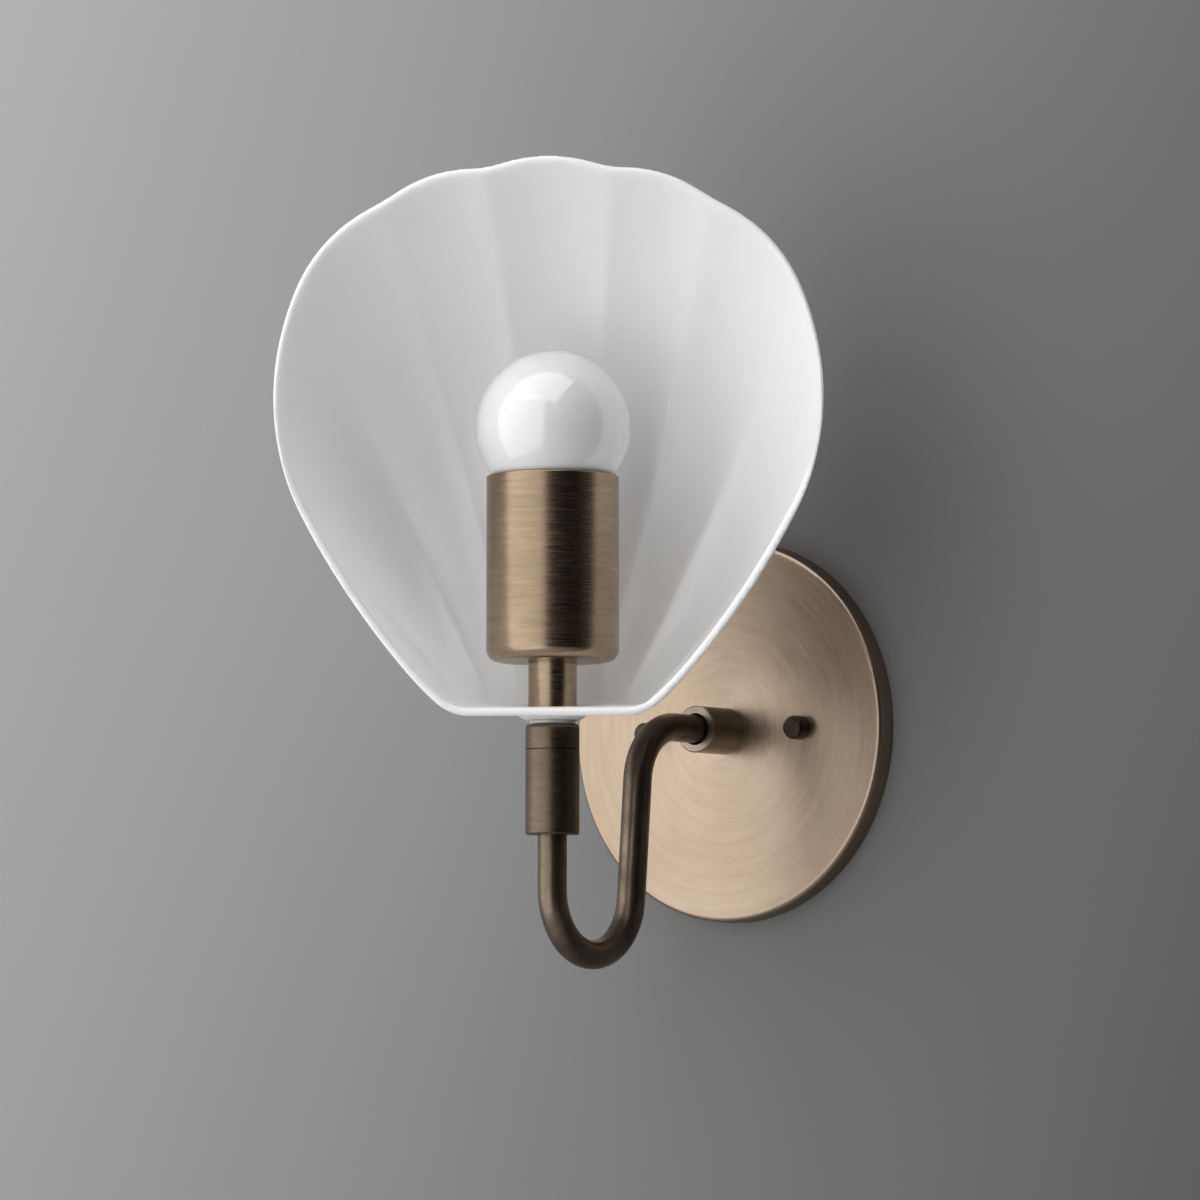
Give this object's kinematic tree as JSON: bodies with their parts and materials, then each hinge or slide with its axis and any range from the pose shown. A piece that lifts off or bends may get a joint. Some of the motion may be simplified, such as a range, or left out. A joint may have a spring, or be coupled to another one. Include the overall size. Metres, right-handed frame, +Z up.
{
  "type": "shell wall sconce",
  "caption": "Wall sconce with a fluted opal glass shell on a swivel, a brass socket cover with globe bulb, a bent arm and a round canopy.",
  "frame": {"origin": "centre of the canopy on the wall plane", "axes": "+Y into the wall, +Z up, +X to the right; the sconce reaches out along -Y"},
  "size_m": [0.1546, 0.1776, 0.2632],
  "materials": {
    "brushed_brass": "brushed",
    "aged_brass": "brushed",
    "dark_bronze": "satin",
    "zinc_steel": "satin",
    "spring_steel": "satin",
    "green_screw": "satin",
    "black_insulation": "satin",
    "white_insulation": "satin",
    "clear_gasket": "satin",
    "opal_glass": "satin",
    "black_phenolic": "satin",
    "bright_brass": "polished",
    "opal_bulb": "gloss",
    "black_glass": "gloss",
    "solder": "satin",
    "clear_glass": "gloss",
    "tungsten": "satin"
  },
  "bodies": {
    "base": {"canopy": "brushed_brass", "mounting_bar": "zinc_steel", "canopy_studs": "zinc_steel", "stud_jam_nuts": "zinc_steel", "cap_nuts": "dark_bronze", "ground_screw": "green_screw", "ferrule": "aged_brass", "arm_stop_collar": "aged_brass", "lock_washer": "zinc_steel", "lock_nut": "zinc_steel", "arm_tube": "dark_bronze", "arm_lead_live": "black_insulation", "arm_lead_neutral": "white_insulation", "coupler": "aged_brass", "swivel_stop_pin": "zinc_steel", "swivel_clip": "spring_steel"},
    "head": {"swivel_ring": "aged_brass", "glass_gasket": "clear_gasket", "glass_pad": "clear_gasket", "glass_shade": "opal_glass", "stem": "aged_brass", "head_lead_live": "black_insulation", "head_lead_neutral": "white_insulation", "socket_cover": "aged_brass", "cover_nut": "zinc_steel", "lampholder": "black_phenolic", "screw_shell": "bright_brass", "centre_contact": "bright_brass"},
    "bulb": {"bulb_globe": "opal_bulb", "bulb_screw_base": "bright_brass", "bulb_seal": "black_glass", "bulb_tip": "solder", "bulb_mount_stem": "clear_glass", "bulb_filament": "tungsten"}
  },
  "joints": [
    {"name": "head_swivel", "type": "hinge", "parent": "base", "child": "head", "pos_m": [0, -0.101, 0], "axis": [0, 0, 1], "range_deg": [-125, 55]},
    {"name": "bulb_out", "type": "slide", "parent": "head", "child": "bulb", "axis": [0, 0, 1], "range_m": [0, 0.018]}
  ]
}
